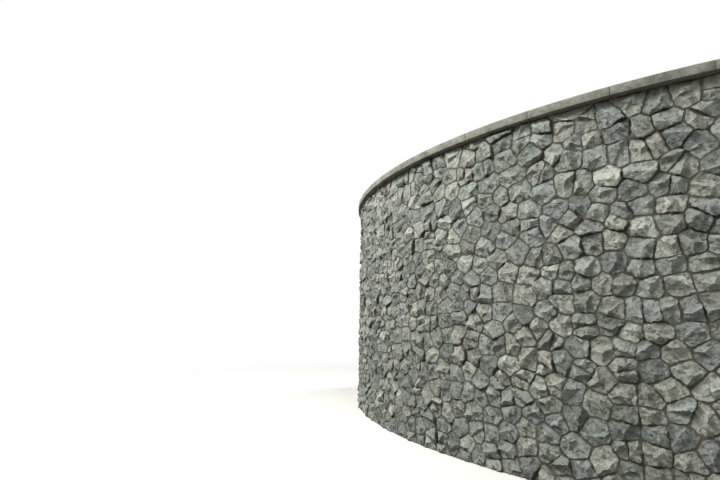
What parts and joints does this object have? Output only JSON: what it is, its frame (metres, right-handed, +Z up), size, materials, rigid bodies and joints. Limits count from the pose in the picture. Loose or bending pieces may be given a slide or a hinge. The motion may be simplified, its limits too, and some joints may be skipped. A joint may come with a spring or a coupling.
{
  "type": "curved polygonal rubble retaining wall",
  "caption": "Curved gravity retaining wall faced with rock-faced polygonal rubble in recessed mortar, toothed to its core and from bay to bay, under a weathered capping.",
  "frame": {"origin": "middle of the footprint's box, on the ground", "axes": "+X along the wall from its left end to its right end seen from the front, -Y out of the bowed face, +Y into the bank, +Z up"},
  "size_m": [8.5974, 2.5962, 3.5998],
  "materials": {
    "face_stone": "rock-faced quarry stone in recessed mortar",
    "core_rubble": "rough rubble in mortar",
    "capping": "weathered cast stone"
  },
  "bodies": {
    "root": {"face_stones_bay_1": "face_stone", "rubble_core_bay_1": "core_rubble", "face_stones_bay_2": "face_stone", "rubble_core_bay_2": "core_rubble", "face_stones_bay_3": "face_stone", "rubble_core_bay_3": "core_rubble", "face_stones_bay_4": "face_stone", "rubble_core_bay_4": "core_rubble", "face_stones_bay_5": "face_stone", "rubble_core_bay_5": "core_rubble", "face_stones_bay_6": "face_stone", "rubble_core_bay_6": "core_rubble", "capping_stone_01": "capping", "capping_stone_02": "capping", "capping_stone_03": "capping", "capping_stone_04": "capping", "capping_stone_05": "capping", "capping_stone_06": "capping", "capping_stone_07": "capping", "capping_stone_08": "capping", "capping_stone_09": "capping", "capping_stone_10": "capping", "capping_stone_11": "capping", "capping_stone_12": "capping"}
  },
  "joints": []
}
